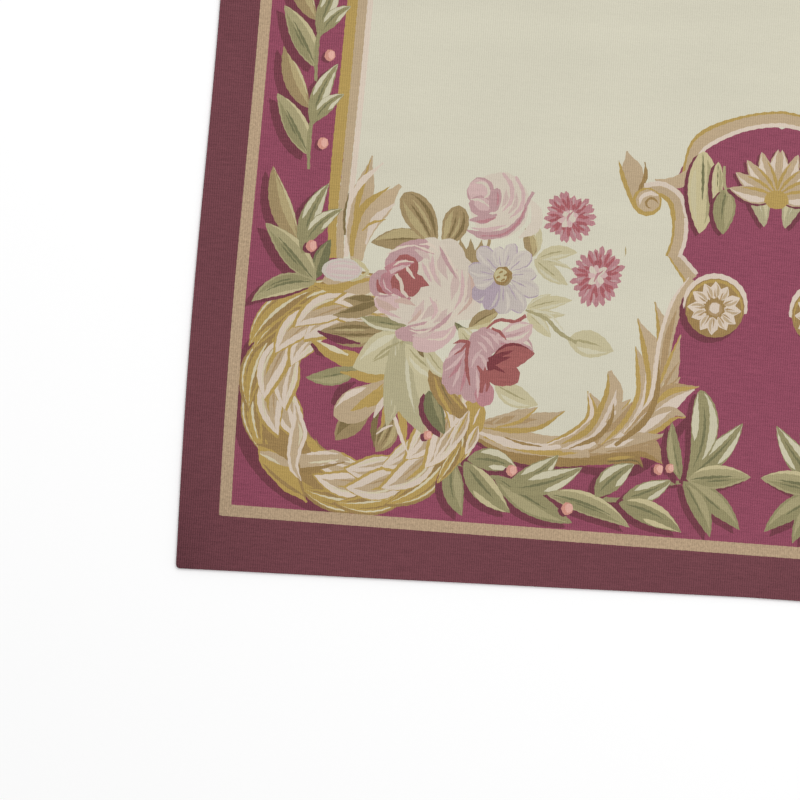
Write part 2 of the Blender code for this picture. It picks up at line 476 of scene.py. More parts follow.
def drawAcanthus():
    stroke("shade", [(26.8, 9.9), (31.5, 8.0), (37, 7.8), (44, 8.3), (49.2, 14.2), (49.9, 16.6)],
           [0.6, 1.0, 0.7, 1.2, 1.0, 0.3])
    stroke("bronze", [(26.6, 10.5), (31.1, 8.8), (35.6, 8.5), (40.3, 9.1), (44.4, 8.9)],
           [0.9, 1.5, 1.2, 1.3, 0.3])
    stroke("beige", [(26.0, 11.6), (30.5, 10.4), (34.7, 10.0), (38.5, 10.4), (42.5, 11.5)],
           [1.8, 2.6, 2.2, 2.6, 2.0])
    stroke("ochre", [(27.4, 10.5), (31, 9.6), (35, 9.3), (39, 9.9)], [0.2, 0.6, 0.6, 0.2])
    for row in scroll[:2]:
        lobe(*row)
    stroke("blush", [(26.9, 10.9), (30.5, 10.0), (34.5, 9.9), (37.5, 10.7)], [0.3, 1.0, 0.7, 0.2])
    stroke("bronze", [(29.6, 10.6), (31.6, 10.1), (33.8, 9.9)], [0.1, 0.3, 0.1])
    for row in scroll[2:]:
        lobe(*row)
    stroke("bronze", [(36.6, 9.9), (39.6, 11.4), (40.9, 13.4), (41.0, 15.2)], [0.1, 0.5, 0.5, 0.1])
    stroke("bronze", [(41.5, 10.6), (44.4, 13.4), (45.5, 16.4), (45.5, 20)], [0.4, 0.7, 0.6, 0.1])


rosette = {"centre": (51.0, 26.0), "radius": 3.15, "petals": 12}


def drawRosette():
    x, y = rosette["centre"]
    radius = rosette["radius"]
    blob("shade", (x - 0.5, y - 0.5), radius + 0.1, radius + 0.1)
    stroke("blush", [ringPoint((x, y), radius + 0.15, a) for a in range(-6, 196, 12)],
           [0.3, 0.8, 0.8, 0.7, 0.15])
    blob("bronze", (x, y), radius, radius)
    stroke("ochre", [ringPoint((x, y), radius - 0.25, a) for a in range(-20, 200, 12)], [0.1, 0.3, 0.3, 0.1])
    for i in range(rosette["petals"]):
        angle = 360 * i / rosette["petals"] + chance.uniform(-4, 4)
        reach = radius * chance.uniform(0.82, 0.93)
        blade = Blade(ringPoint((x, y), 0.7, angle), ringPoint((x, y), reach, angle), 1.2, 0, 0.55, 1.0)
        paint("blush", blade.outline())
        blade.streak("beige", -0.5, 0.1, 0.9, 0.3)
        blade.streak("tan", 0.1, 0.0, 0.7, 0.2)
    blob("bronze", (x, y), 1.2, 1.2, lobes=11, depth=0.18)
    blob("tan", (x + 0.05, y - 0.1), 0.78, 0.78)
    blob("blush", (x, y), 0.6, 0.62)


def drawMoulding():
    # ochre outside, beige in the middle, pale inside
    for yarn, side, width in [("ochre", -0.62, 0.5), ("beige", 0.0, 1.2), ("blush", 0.62, 0.42)]:
        stroke(yarn, [(48.4 + side * 0.7, 28.9 + side * 0.9), (46.3 + side, 31.4)], [width, width])
        stroke(yarn, [(46.2 + side, 31.0 + abs(side) * 0.2), (46.7 + side, 33.2), (46.6 + side, 35.6)],
               [width] * 3)
        stroke(yarn, [(47.6 + side, 38.6), (47.4 + side, 41), (48.6 + side * 0.7, 43.8 - side),
                      (54, 46.2 - side), (62, 47 - side)], [width] * 5)
    # a leaf and the volute that the moulding curls into
    stroke("beige", [(41.8, 35.9), (41.9, 37.6), (41.2, 39.6), (40.4, 42.0)], [0.2, 1.9, 2.3, 0.2])
    stroke("ochre", [(41.6, 36.0), (41.0, 37.4), (40.3, 38.9), (39.6, 41.0)], [0.2, 0.45, 0.5, 0.1])
    stroke("bronze", [(41.9, 36.4), (42.1, 38.0), (42.6, 39.4), (42.4, 41.0)], [0.2, 0.4, 0.5, 0.1])
    stroke("beige", [(47.7, 41.0), (46.9, 39.6), (45.2, 38.9), (43.6, 39.2)], [0.4, 1.5, 1.2, 0.2])
    neck = [(42.6, 37.9), (44.4, 38.2), (46.0, 37.2), (46.65, 35.2)]
    stroke("beige", neck, [1.0, 1.6, 1.9, 1.9])
    stroke("blush", shifted(neck, [1.6, 1.9], 0.7), [0.5, 0.5, 0.5, 0.42])
    stroke("ochre", shifted(neck, [1.6, 1.9], -0.75), [0.3, 0.4, 0.5, 0.5])
    blob("ochre", (42.95, 36.75), 1.6, 1.5)
    blob("beige", (43.05, 36.9), 1.3, 1.2)
    stroke("blush", [(42.2, 36.3), (42.3, 37.2), (43.2, 37.7), (44.1, 37.5)], [0.1, 0.4, 0.45, 0.2])
    stroke("bronze", [(44.2, 36.6), (43.6, 37.2), (42.9, 36.9), (42.9, 36.3), (43.5, 36.1)],
           [0.1, 0.25, 0.25, 0.1])
    # leaves and a palmette hanging in the closed end
    for row in [
        ("palm", (48.5, 42.6), (48.8, 33.8), 3.3, 0.02), ("palm", (50.2, 41.6), (50.4, 36.4), 1.2, 0.0),
        ("olive", (51.5, 38.9), (51.3, 33.9), 2.4, -0.04), ("misty", (53.2, 41), (55.6, 35.0), 2.2, 0.06),
    ]:
        leaf(*row, shadow=0.4, blunt=0.7)
    stroke("moss", [(50.9, 41.2), (51.0, 39.4), (51.5, 38.0)], [0.3, 0.35, 0.2])
    for i in range(5):
        leaf("creamy", (56.7, 38.2), ringPoint((56.7, 38.2), 5.2, 92 + i * 20), 1.8, 0.04, shadow=0.3)
    blob("ochre", (56.7, 38.0), 1.3, 1.0)


def drawGreenery():
    stroke("beige", [(9.2, 26.0), (11, 25.4), (13.5, 25.6), (15.5, 26.5)], [0.6, 1.2, 2.0, 0.6])
    stroke("ochre", [(8.3, 25.4), (10.5, 25.0), (12.6, 25.9), (15.2, 26.6)], [0.3, 1.0, 0.5, 0.2])
    blob("pearl", (11.1, 27.1), 2.15, 1.25, 4)
    blob("orchid", (11.2, 27.1), 1.85, 1.0, 4)
    for shift in (-0.5, 0.1, 0.6):
        stroke("pearl", [(9.8, 27.0 + shift * 0.8), (11.0, 27.1 + shift * 1.2), (12.8, 27.1 + shift)],
               [0.1, 0.26, 0.1])
    stroke("straw", [(12.0, 28.5), (13.0, 27.9), (13.9, 27.1)], [0.1, 0.5, 0.3])
    stroke("straw", [(12.0, 25.9), (13.1, 26.4), (13.9, 27.1)], [0.1, 0.4, 0.3])
    for row in [
        ("halved", (20.0, 30.9), (13.9, 30.2), 2.4, -0.04),
        ("bark", (15.6, 23.8), (11.4, 24.0), 1.5, 0.0),
        ("bark", (16.0, 24.2), (10.4, 22.2), 1.5, 0.05),
        ("umber", (16.0, 20.8), (9.2, 20.4), 2.8, 0.04),
    ]:
        leaf(*row)
    leaf("umber", (20.8, 30.0), (16.9, 35.7), 3.3, -0.06, fullAt=0.62, blunt=0.55)
    leaf("umber", (21.4, 30.2), (22.9, 34.9), 2.8, -0.10, fullAt=0.62, blunt=0.55)
    # the leaves under the flowers, over the wreath
    stroke("shade", [(9.0, 20.4), (11, 19.7), (13.6, 19.4)], [0.2, 0.8, 0.2])
    stroke("shade", [(8.4, 19.0), (9.6, 18.2), (10.8, 17.8)], [0.2, 1.1, 0.1])
    stroke("shade", [(11.4, 12.6), (12.0, 14.2), (13.4, 15.3)], [1.0, 1.2, 0.2])
    stroke("ochre", [(8.5, 19.4), (10.5, 18.2), (13.2, 17.4), (15, 16.6)], [0.3, 1.3, 2.0, 1.5])
    stroke("cream", [(9.4, 19.2), (11.2, 18.5), (12.4, 18.1)], [0.2, 0.6, 0.2])
    leaf("olive", (13.6, 16.8), (8.1, 15.4), 1.9, 0.08)
    stroke("ochre", [(11.7, 16.2), (14, 16.0), (17, 15.6)], [0.2, 1.2, 1.4])
    leaf("bark", (15.6, 12.9), (11.7, 8.9), 2.5, -0.05, fullAt=0.55)
    leaf("umber", (17.8, 12.2), (16.1, 8.0), 2.3, 0.05, fullAt=0.55)
    stroke("bark", [(15.9, 12.3), (15.7, 10.4), (15.9, 8.5)], [0.5, 0.7, 0.1])
    blade = Blade((16.6, 15.8), (11.3, 11.6), 3.6, 0.08, 0.62, 0.6)
    paint("beige", blade.outline())
    blade.streak("blush", -0.75, 0.3, 0.95, 0.2)
    blade.streak("ochre", 0.15, 0.05, 0.75, 0.3)
    stroke("ochre", [(14.8, 12.7), (16.0, 13.6), (17.6, 15.6)], [0.2, 1.2, 1.4])
    stroke("blush", [(15.6, 11.6), (16.2, 13.0), (17.0, 14.4)], [0.2, 0.7, 0.2])
    stroke("ochre", [(16.5, 10.6), (16.9, 12.4), (17.4, 14.4)], [0.2, 0.9, 0.6])
    stroke("ochre", [(19.2, 8.8), (18.8, 11), (18.4, 13.4)], [0.2, 0.9, 1.0])
    stroke("blush", [(19.6, 8.0), (18.5, 10.2), (17.8, 11.9)], [0.1, 0.4, 0.4])
    stroke("blush", [(16.0, 9.9), (17.0, 10.7), (17.8, 11.0)], [0.1, 0.3, 0.1])
    for row in [
        ("pale", (19.2, 21.4), (13.0, 16.8), 4.4, 0.06),
        ("misty", (17.2, 20.6), (17.0, 10.8), 2.6, 0.06),
        ("misty", (18.6, 20.4), (20.9, 10.4), 4.6, -0.04),
        ("pale", (18.4, 19.8), (23.4, 16.5), 2.6, -0.10),
        ("olive", (18.4, 21.7), (13.3, 22.2), 1.5, 0.05),
    ]:
        leaf(*row, fullAt=0.5)
    stroke("frost", [(13.4, 22.2), (15.0, 21.3), (17.6, 21.0)], [0.2, 0.3, 0.2])
    stroke("moss", [(15.0, 17.7), (16.2, 18.9), (17.8, 19.9)], [0.1, 0.3, 0.1])
    stroke("bark", [(19.4, 19.8), (20.2, 18.8), (22.6, 17.6)], [0.2, 0.5, 0.2])
    leaf("dark", (21.2, 15.0), (23.3, 10.4), 2.0, -0.04, shadow=0.5)
    berry((21.5, 10.2), 0.5)
    stroke("bronze", [(21.6, 18.2), (22.3, 16.0), (23.4, 14.1), (25.6, 12.4)], [1.2, 2.4, 2.0, 1.2])
    stroke("ochre", [(21.7, 16.6), (22.4, 14.8), (23.8, 12.6)], [0.1, 0.4, 0.3])
    stroke("ochre", [(22.7, 16.6), (23.4, 15.0), (25.0, 13.3)], [0.1, 0.3, 0.2])
    stroke("bark", [(22.2, 16.6), (23.0, 14.8), (24.2, 13.2)], [0.05, 0.16, 0.05])
    leaf("pale", (20.6, 19.6), (23.6, 16.4), 1.7, -0.10)
    stroke("ochre", [(25.4, 14.1), (26.4, 13.2), (26.6, 11.6), (26.0, 10.2)], [0.6, 2.0, 1.5, 0.5])
    for row in [
        ("scaleOuter", (25.2, 9.8), (22.8, 5.1), 1.3), ("scaleInner", (24.4, 11.6), (22.3, 7.4), 1.5),
        ("scaleMiddle", (25.7, 13.2), (23.9, 8.9), 1.3), ("scaleMiddle", (26.8, 11.7), (25.6, 8.4), 1.1),
    ]:
        leaf(*row, 0.03, fullAt=0.5, blunt=0.9)
    stroke("blush", [(26.9, 13.6), (26.5, 12.6), (26.2, 11.6)], [0.1, 0.25, 0.1])
    # pale sprays to the right of the flowers
    leaf("pale", (28.2, 16.2), (33.0, 14.3), 2.4, -0.05)
    for row in [
        ("pale", (31.0, 24.4), (35.8, 25.7), 1.5, 0.04),
        ("faint", (31.0, 24.5), (33.6, 26.2), 0.7, 0.05),
        ("faint", (31.0, 24.2), (35.2, 24.1), 0.9, -0.04),
        ("pale", (31.6, 29.7), (36.0, 30.8), 1.6, 0.08),
        ("faint", (31.4, 29.6), (35.6, 28.9), 0.6, 0.08),
        ("pale", (31.4, 29.8), (35.2, 27.3), 1.7, -0.03),
        ("faint", (31.0, 29.8), (31.6, 33.6), 1.3, -0.05),
        ("dull", (31.2, 30.0), (30.2, 33.0), 1.5, -0.05),
        ("pale", (35.6, 21.5), (40.6, 20.6), 2.9, 0.02),
        ("faint", (31.0, 24.0), (33.8, 21.5), 1.5, 0.04),
    ]:
        leaf(*row)
    stroke("moss", [(30.9, 24.3), (33.2, 23.5), (34.6, 22.2), (36.6, 21.2)], [0.25, 0.4, 0.45, 0.3])
    stroke("frost", [(31.4, 24.5), (33.6, 23.9), (35.2, 22.3)], [0.1, 0.2, 0.1])
    for start, tip in [(24.5, 23.3), (24.8, 24.5), (25.3, 25.7)]:  # sepals behind the daisy
        stroke("umber", [(start, 27.9), ((start + tip) / 2, 29.4), (tip, 31.5)], [2.0, 1.2, 0.1])
    stroke("umber", [(26.4, 30.7), (26.5, 31.5)], [0.35, 0.35])


def budRose():  # the small rose behind
    blob("petal", (27.3, 35.2), 3.2, 3.6, 0, lobes=7, depth=0.03)
    stroke("petal", [(30.4, 36.2), (31.3, 34.8), (31.2, 33.2), (29.6, 31.9)], [0.3, 1.2, 1.2, 0.3])
    for yarn, centre, wide, tall, turn in [
        ("mauve", (25.2, 36.4), 1.5, 1.7, 0), ("pink", (25.0, 36.6), 1.2, 1.3, 0),
        ("mauve", (25.3, 35.0), 1.3, 1.1, -15),
        ("pink", (25.5, 35.2), 1.0, 0.7, -15), ("mauve", (26.8, 35.7), 0.65, 1.4, -8),
    ]:
        blob(yarn, centre, wide, tall, turn, lobes=5, depth=0.05)
    for yarn, points, widths in [
        ("dusk", [(26.9, 36.8), (27.1, 36.0), (27.0, 35.0)], [0.1, 0.25, 0.1]),
        ("petal", [(24.4, 37.4), (25.6, 37.4), (26.1, 36.4), (25.5, 35.8)], [0.1, 0.35, 0.3, 0.1]),
        ("petal", [(24.1, 35.6), (25.2, 35.6), (26.2, 35.0)], [0.1, 0.3, 0.1]),
        ("pink", [(27.4, 38.7), (28.4, 37.4), (28.5, 35.8), (27.6, 34.5)], [0.3, 0.5, 0.45, 0.1]),
        ("pink", [(28.8, 38.4), (29.7, 36.8), (29.6, 35.2), (28.4, 33.8)], [0.3, 0.4, 0.45, 0.1]),
        ("softPink", [(27.9, 37.0), (27.9, 35.8), (27.5, 35.0)], [0.1, 0.6, 0.1]),
        ("softPink", [(29.0, 36.8), (29.0, 35.4), (28.2, 34.3)], [0.1, 0.5, 0.1]),
        ("mauve", [(24.2, 33.4), (25.6, 33.6), (27.1, 34.2)], [0.2, 1.1, 0.2]),
        ("dusk", [(24.8, 33.3), (25.9, 33.4), (27.0, 33.9)], [0.1, 0.4, 0.1]),
        ("mauve", [(24.0, 32.3), (26.0, 31.9), (28.2, 32.4), (29.7, 34.0), (30.2, 35.6), (30.8, 36.9)],
         [0.2, 0.9, 0.8, 0.6, 0.35, 0.35]),
        ("pink", [(24.4, 32.6), (26.2, 32.5), (28.2, 33.2)], [0.1, 0.5, 0.1]),
        ("dusk", [(25.4, 31.8), (27.8, 32.1), (29.4, 33.5), (30.2, 35.4)], [0.1, 0.25, 0.3, 0.1]),
    ]:
        stroke(yarn, points, widths)


def drawRoses():
    budRose()
    # the outer petals of the large rose
    for centre, wide, tall, turn, yarn in [
        ((22.4, 29.3), 1.7, 2.1, 25, "petal"), ((20.4, 29.6), 1.7, 1.7, 10, "petal"),
        ((17.9, 29.2), 2.7, 1.35, 33, "mauve"),
        ((15.5, 25.9), 1.5, 1.6, 0, "mauve"), ((16.4, 23.9), 1.75, 1.25, -15, "pink"),
        ((18.0, 22.6), 2.0, 0.8, -10, "petal"),
        ((19.3, 20.9), 2.2, 0.9, 5, "mauve"), ((21.4, 20.9), 2.6, 1.6, 35, "pink"),
        ((24.2, 25.5), 2.2, 2.9, 0, "petal"),
        ((22.9, 27.0), 2.6, 2.9, 15, "petal"),
    ]:
        blob(yarn, centre, wide, tall, turn, lobes=5, depth=0.04, spin=centre[0])
    blob("petal", (20.7, 25.2), 3.2, 4.2, -25, lobes=6, depth=0.04)
    blob("petal", (22.0, 24.4), 2.6, 3.2, -28)
    for points in [[(21.5, 30.0), (21.6, 28.4), (22.4, 26.8)], [(23.3, 28.2), (23.2, 26.4), (22.9, 24.6)],
                   [(24.6, 27.6), (24.8, 26.2), (24.4, 24.6)], [(20.0, 24.6), (19.6, 23.4), (18.8, 22.6)],
                   [(21.4, 24.8), (20.8, 23.4), (19.8, 22.4)], [(20.2, 28.8), (20.9, 27.4), (21.8, 26.0)],
                   [(18.6, 29.8), (19.6, 29.5), (20.4, 28.8)], [(19.0, 20.7), (20.4, 21.0), (21.6, 22.0)],
                   [(22.6, 23.8), (22.0, 22.9), (21.2, 22.2)]]:
        stroke("softPink", points, [0.1, 0.95, 0.1])
    # folds
    for yarn, points in [
        ("mauve", [(17.9, 30.4), (19.3, 30.0), (20.8, 29.5)]),
        ("pink", [(20.6, 29.5), (20.7, 27.8), (21.4, 26.4)]),
        ("pink", [(19.5, 28.6), (20.1, 27.4), (20.7, 26.5)]),
        ("mauve", [(21.2, 30.5), (22.0, 29.0), (23.4, 27.0)]),
        ("pink", [(23.8, 28.1), (24.0, 26.6), (23.9, 25.0), (23.2, 23.6)]),
        ("mauve", [(23.2, 23.6), (22.2, 22.3), (20.7, 21.1)]),
        ("taupe", [(24.5, 27.9), (25.1, 26.5), (24.9, 24.7), (23.6, 23.1)]),
        ("mauve", [(18.2, 21.3), (19.4, 21.1), (20.7, 21.5)]),
        ("pink", [(20.6, 24.9), (21.4, 23.6), (20.9, 22.4)]),
        ("taupe", [(19.9, 23.6), (19.3, 22.6), (18.5, 21.9)]),
        ("mauve", [(20.6, 22.3), (19.6, 21.8), (18.4, 21.6)]),
    ]:
        stroke(yarn, points, [0.1, 0.42, 0.38, 0.1])
        stroke("blush", [(a + 0.42, b - 0.05) for a, b in points], [0.05, 0.24, 0.05])
    for points in [[(19.0, 30.4), (20.3, 30.5), (21.3, 29.6)], [(15.5, 29.0), (17.0, 29.9), (18.6, 30.3)],
                   [(14.7, 24.2), (15.6, 24.9), (17.0, 24.8)], [(20.6, 20.4), (22.4, 20.6), (23.4, 22.0)]]:
        stroke("blush", points, [0.1, 0.3, 0.1])
    stroke("taupe", [(14.9, 24.4), (15.8, 23.6), (17.2, 23.3)], [0.2, 1.1, 0.2])
    stroke("mauve", [(14.6, 24.9), (15.6, 24.6), (16.6, 24.8)], [0.1, 0.3, 0.1])
    stroke("taupe", [(16.9, 24.2), (17.9, 24.3), (19.2, 23.9)], [0.3, 0.7, 0.1])
    stroke("pink", [(14.8, 23.6), (16.2, 22.9), (17.8, 22.4)], [0.1, 0.4, 0.1])
    # the heart
    stroke("brick", [(14.9, 26.4), (15.2, 25.3), (16.4, 24.9)], [0.15, 0.5, 0.15])
    blob("dusk", (16.1, 26.0), 0.85, 1.25, 20)
    stroke("pink", [(15.5, 26.6), (15.8, 25.6), (16.6, 25.0)], [0.1, 0.2, 0.1])
    blob("brick", (17.8, 27.8), 1.45, 1.5, lobes=5, depth=0.06)
    blob("brick", (18.0, 26.1), 1.75, 1.45, lobes=5, depth=0.08, spin=0.4)
    stroke("brick", [(18.0, 26.6), (19.2, 26.5), (20.5, 26.1)], [1.8, 1.4, 0.1])
    stroke("dusk", [(15.9, 27.2), (17.0, 28.0), (18.7, 28.5)], [1.2, 1.1, 0.2])
    stroke("pink", [(16.2, 27.2), (17.2, 27.8), (18.3, 28.1)], [0.5, 0.4, 0.1])
    stroke("dusk", [(16.6, 25.4), (17.4, 25.0), (18.6, 24.5)], [0.6, 0.5, 0.2])
    stroke("blush", [(16.4, 27.9), (17.4, 28.5), (18.6, 28.5)], [0.15, 0.25, 0.1])
    stroke("blush", [(16.8, 27.1), (17.5, 26.2), (17.6, 25.4), (18.3, 24.7)], [0.35, 0.35, 0.4, 0.3])
    stroke("blush", [(17.9, 28.0), (18.2, 27.5), (18.9, 26.7)], [0.3, 0.35, 0.1])
    leaf("halved", (25.0, 21.9), (28.4, 24.2), 1.6, 0.04)
    stroke("straw", [(24.8, 21.8), (26.8, 22.3), (28.4, 23.2)], [0.2, 0.5, 0.1])
    leaf("dark", (25.9, 21.0), (23.4, 22.5), 0.9, 0.1)
    leaf("pale", (25.6, 20.2), (23.9, 21.9), 1.6, 0.0)


def drawDaisy():
    centre = (28.2, 27.7)
    for angle, reach, width, yarn in [
        (223, 4.0, 2.3, "heather"), (196, 3.2, 2.1, "lilac"), (171, 3.8, 1.9, "lilac"),
        (134, 4.0, 2.0, "lilac"),
        (103, 3.2, 1.6, "pearl"), (76, 3.7, 1.6, "lilac"), (44, 3.9, 1.9, "pearl"), (8, 3.6, 1.6, "pearl"),
        (-22, 4.3, 2.0, "pearl"), (-57, 4.4, 2.1, "lilac"), (-86, 4.1, 2.4, "lilac"),
        (-112, 4.0, 1.7, "heather"),
    ]:
        under = Blade(ringPoint(centre, 0.5, angle - 2), ringPoint(centre, reach, angle - 3), width * 0.9,
                      0.03, 0.68, 0.6)
        paint("heather", under.outline())
        blade = Blade(ringPoint(centre, 0.5, angle), ringPoint(centre, reach, angle), width * 0.88,
                      0.03, 0.68, 0.6)
        paint(yarn, blade.outline())
        blade.streak("pearl" if yarn == "lilac" else "lilac", 0.5, 0.3, 0.97, 0.2)
        blade.streak("heather", -0.05, 0.02, 0.65, 0.13)
    blob("bronze", centre, 1.05, 1.1, lobes=7, depth=0.12)
    blob("straw", (28.0, 27.8), 0.72, 0.75)
    for i in range(4):
        x, y = ringPoint((28.1, 27.7), 0.42, i * 90 + 20)
        stroke("bronze", [(x - 0.2, y - 0.12), (x + 0.2, y + 0.12)], [0.2, 0.2])
    stroke("umber", [(28.3, 26.7), (28.9, 27.1), (29.1, 27.8)], [0.15, 0.3, 0.1])


def drawBellFlower():
    for yarn, centre, wide, tall, turn, lobes in [
        ("mauve", (24.4, 17.5), 1.9, 3.0, -14, 9), ("mauve", (25.9, 16.2), 1.5, 2.3, 0, 7),
        ("dusk", (27.2, 15.0), 1.1, 1.4, 0, 5),
        ("mauve", (24.8, 19.6), 1.4, 1.1, 20, 5), ("mauve", (26.9, 20.6), 1.8, 1.6, 10, 6),
        ("mauve", (26.6, 18.6), 1.3, 1.7, 15, 5),
    ]:
        blob(yarn, centre, wide, tall, turn, lobes=lobes, depth=0.1)
    # petals to the right: base, tip, width, bend, where widest, bluntness, yarn
    for base, tip, width, bend, fullAt, blunt, yarn in [
        ((27.6, 20.4), (32.1, 20.0), 2.6, 0.08, 0.6, 0.9, "mauve"),
        ((27.6, 21.2), (31.8, 22.8), 2.5, -0.08, 0.6, 0.85, "pink"),
    ]:
        blade = Blade(base, tip, width, bend, fullAt, blunt)
        paint(yarn, blade.outline())
        blade.streak("petal", 0.5, 0.3, 0.98, 0.25)
        blade.streak("dusk" if yarn == "mauve" else "mauve", -0.1, 0.05, 0.8, 0.14)
        blade.streak("petal", -0.45, 0.2, 0.9, 0.16)
    blob("brick", (28.9, 17.3), 2.05, 1.35, -5, lobes=5, depth=0.06)
    blade = Blade((27.4, 18.5), (32.3, 19.7), 2.7, 0.05, 0.5, 1.0)
    paint("brick", blade.outline())
    blade.streak("wine", 0.88, 0.1, 0.99, 0.12)
    for points, widths in [
        ([(27.2, 18.0), (28.4, 18.7), (29.8, 19.2)], [0.9, 0.6, 0.1]),
        ([(27.4, 18.6), (28.8, 19.4), (30.0, 19.9)], [0.7, 0.5, 0.1]),
        ([(27.2, 17.9), (28.2, 17.9), (29.3, 17.4)], [0.8, 0.4, 0.1]),
    ]:
        stroke("wine", points, widths)
    for points in [[(22.8, 17.2), (23.8, 18.0), (24.8, 19.4)], [(23.7, 15.4), (24.2, 16.8), (24.4, 18.2)],
                   [(26.5, 14.4), (26.4, 16.2), (26.1, 17.6)], [(26.0, 19.4), (26.8, 18.8), (27.3, 17.6)],
                   [(22.9, 18.4), (23.5, 19.1), (24.4, 19.8)], [(25.6, 17.8), (25.9, 18.8), (26.6, 19.8)],
                   [(26.2, 21.3), (27.1, 20.8), (27.9, 19.8)], [(26.9, 21.7), (27.7, 21.2), (28.4, 20.3)],
                   [(25.9, 20.6), (26.6, 20.2), (27.2, 19.4)]]:
        stroke("pink", points, [0.1, 0.4, 0.1])
    for points in [[(23.2, 16.4), (24.0, 17.4), (24.6, 18.8)], [(24.6, 15.0), (24.9, 16.4), (25.0, 17.8)],
                   [(27.3, 14.0), (27.2, 15.2), (26.8, 16.4)]]:
        stroke("dusk", points, [0.1, 0.4, 0.1])
    for points, widths in [
        ([(23.4, 20.1), (24.4, 20.5), (25.3, 20.3)], [0.15, 0.35, 0.4]),
        ([(25.1, 20.5), (25.0, 18.8), (25.2, 17.2), (25.6, 15.8)], [0.4, 0.35, 0.4, 0.15]),
        ([(24.9, 20.2), (24.4, 19.5), (23.7, 19.0)], [0.3, 0.25, 0.1]),
        ([(26.2, 18.0), (26.9, 16.9), (26.8, 15.1)], [0.2, 0.7, 0.35]),
        ([(27.3, 17.0), (27.5, 16.0), (27.4, 15.3)], [0.6, 0.4, 0.2]),
        ([(26.9, 22.0), (28.1, 23.0), (29.9, 23.0), (31.0, 23.7)], [0.15, 0.35, 0.35, 0.45]),
        ([(27.4, 22.1), (28.4, 21.7), (29.1, 20.9)], [0.25, 0.35, 0.1]),
    ]:
        stroke("brick", points, widths)


def aster(centre, wide, tall, turn):
    def spot(reach, angle):
        angle = math.radians(angle)
        point = Vector((wide * reach * math.cos(angle), tall * reach * math.sin(angle)))
        return Vector(centre) + point @ Matrix.Rotation(math.radians(-turn), 2)

    blob("dusk", centre, wide * 0.8, tall * 0.8, turn, lobes=20, depth=0.1)
    # yarn, how many petals, where they start and end as shares, width
    for yarn, count, start, end, width in [
        ("dusk", 23, 0.4, 1.0, 0.62), ("cerise", 19, 0.34, 0.82, 0.36),
        ("mauve", 9, 0.4, 0.84, 0.28), ("cerise", 12, 0.26, 0.6, 0.46),
    ]:
        for i in range(count):
            angle = 360 * (i + chance.uniform(-0.25, 0.25)) / count
            tip = end * chance.uniform(0.86, 1.06)
            petal = Blade(spot(start, angle), spot(tip, angle + 4), width, 0, 0.66, 0.6)
            paint(yarn, petal.outline())
    for i in range(8):
        angle = 360 * (i + chance.uniform(-0.3, 0.3)) / 8
        petal = Blade(spot(-0.05, angle), spot(chance.uniform(0.28, 0.48), angle + 10), 0.7, 0.08, 0.62, 0.6)
        paint("petal" if i % 2 else "pink", petal.outline())
    stroke("dusk", [spot(0.2, 250), spot(0.05, 160), spot(0.3, 60)], [0.1, 0.25, 0.1])


def drawPattern():
    drawGround()
    drawSideFrame()
    drawMoulding()
    drawAcanthus()
    drawRosette()
    drawWreath()
    drawLaurels()
    drawGreenery()
    drawRoses()
    drawDaisy()
    drawBellFlower()
    stroke("khaki", [(41.0, 31.9), (41.1, 31.3), (41.0, 30.7)], [0.08, 0.16, 0.08])  # a slub in the weft
    aster((34.8, 34.5), 2.85, 2.75, 0)
    aster((38.3, 28.4), 2.9, 3.35, -12)
    drawStripe()


# Cutting the cloth's quarter along the pattern

loom = {
    "samePoint": 0.002,  # centimetres between points that count as one
    "sharpTurn": 0.75,  # cosine of the least turn that stays sharp
    "straightRun": 4,  # steps that make a straight run, which is woven more evenly
    "straightTooth": 0.4,
    "leastTooth": 0.2,
    "cornerSteps": 5,
    "justInside": 0.01,
    "doubtShare": 0.02,  # share of a shape's area that may be missing, and the least area in square cm
    "doubtArea": 0.01,
    "cell": 2,  # centimetres, for finding the triangles near a place
    "keptEdge": 0.7,  # centimetres along the cloth's edges where no points are joined
    "mostJoined": 1.6,  # times the shortest edge
    "rowShare": 0.87,  # height of an even triangle
    "onSeam": 1e-7,  # in metres, as the next two
    "seamGap": 2e-6,
    "hemGap": 3e-6,
    "smoothUpTo": 40,  # degrees between faces that shade as one
    "dyeLot": (0.965, 1.03),
}


def clothEdge():  # outline of the quarter, in centimetres, with its rounded corner
    side = -100 * (cloth["sideBand"] - cloth["rim"])
    end = -100 * (nominalEnd() - cloth["rim"])
    middle = 50 * cloth["fieldWidth"]
    half = 50 * cloth["fieldLength"]
    radius = 100 * (cloth["cornerRadius"] - cloth["rim"])
    steps = loom["cornerSteps"]
    line = []
    spread(line, (side, half), (side, end + radius))
    for i in range(1, steps):
        angle = math.pi + math.pi / 2 * i / steps
        line.append(Vector((side + radius + radius * math.cos(angle),
                            end + radius + radius * math.sin(angle))))
    spread(line, (side + radius, end), (middle, end))
    spread(line, (middle, end), (middle, half))
    spread(line, (middle, half), (side, half))
    return line


def nominalEnd():
    return cloth["endBands"][2][1]


def spread(line, start, stop):  # even points from start up to stop
    start, stop = Vector(start), Vector(stop)
    pieces = round((stop - start).length / cloth["gridStep"])
    for i in range(pieces + 1):
        point = start.lerp(stop, i / pieces)
        if not line or (point - line[-1]).length > 0.001 and (point - line[0]).length > 0.001:
            line.append(point)


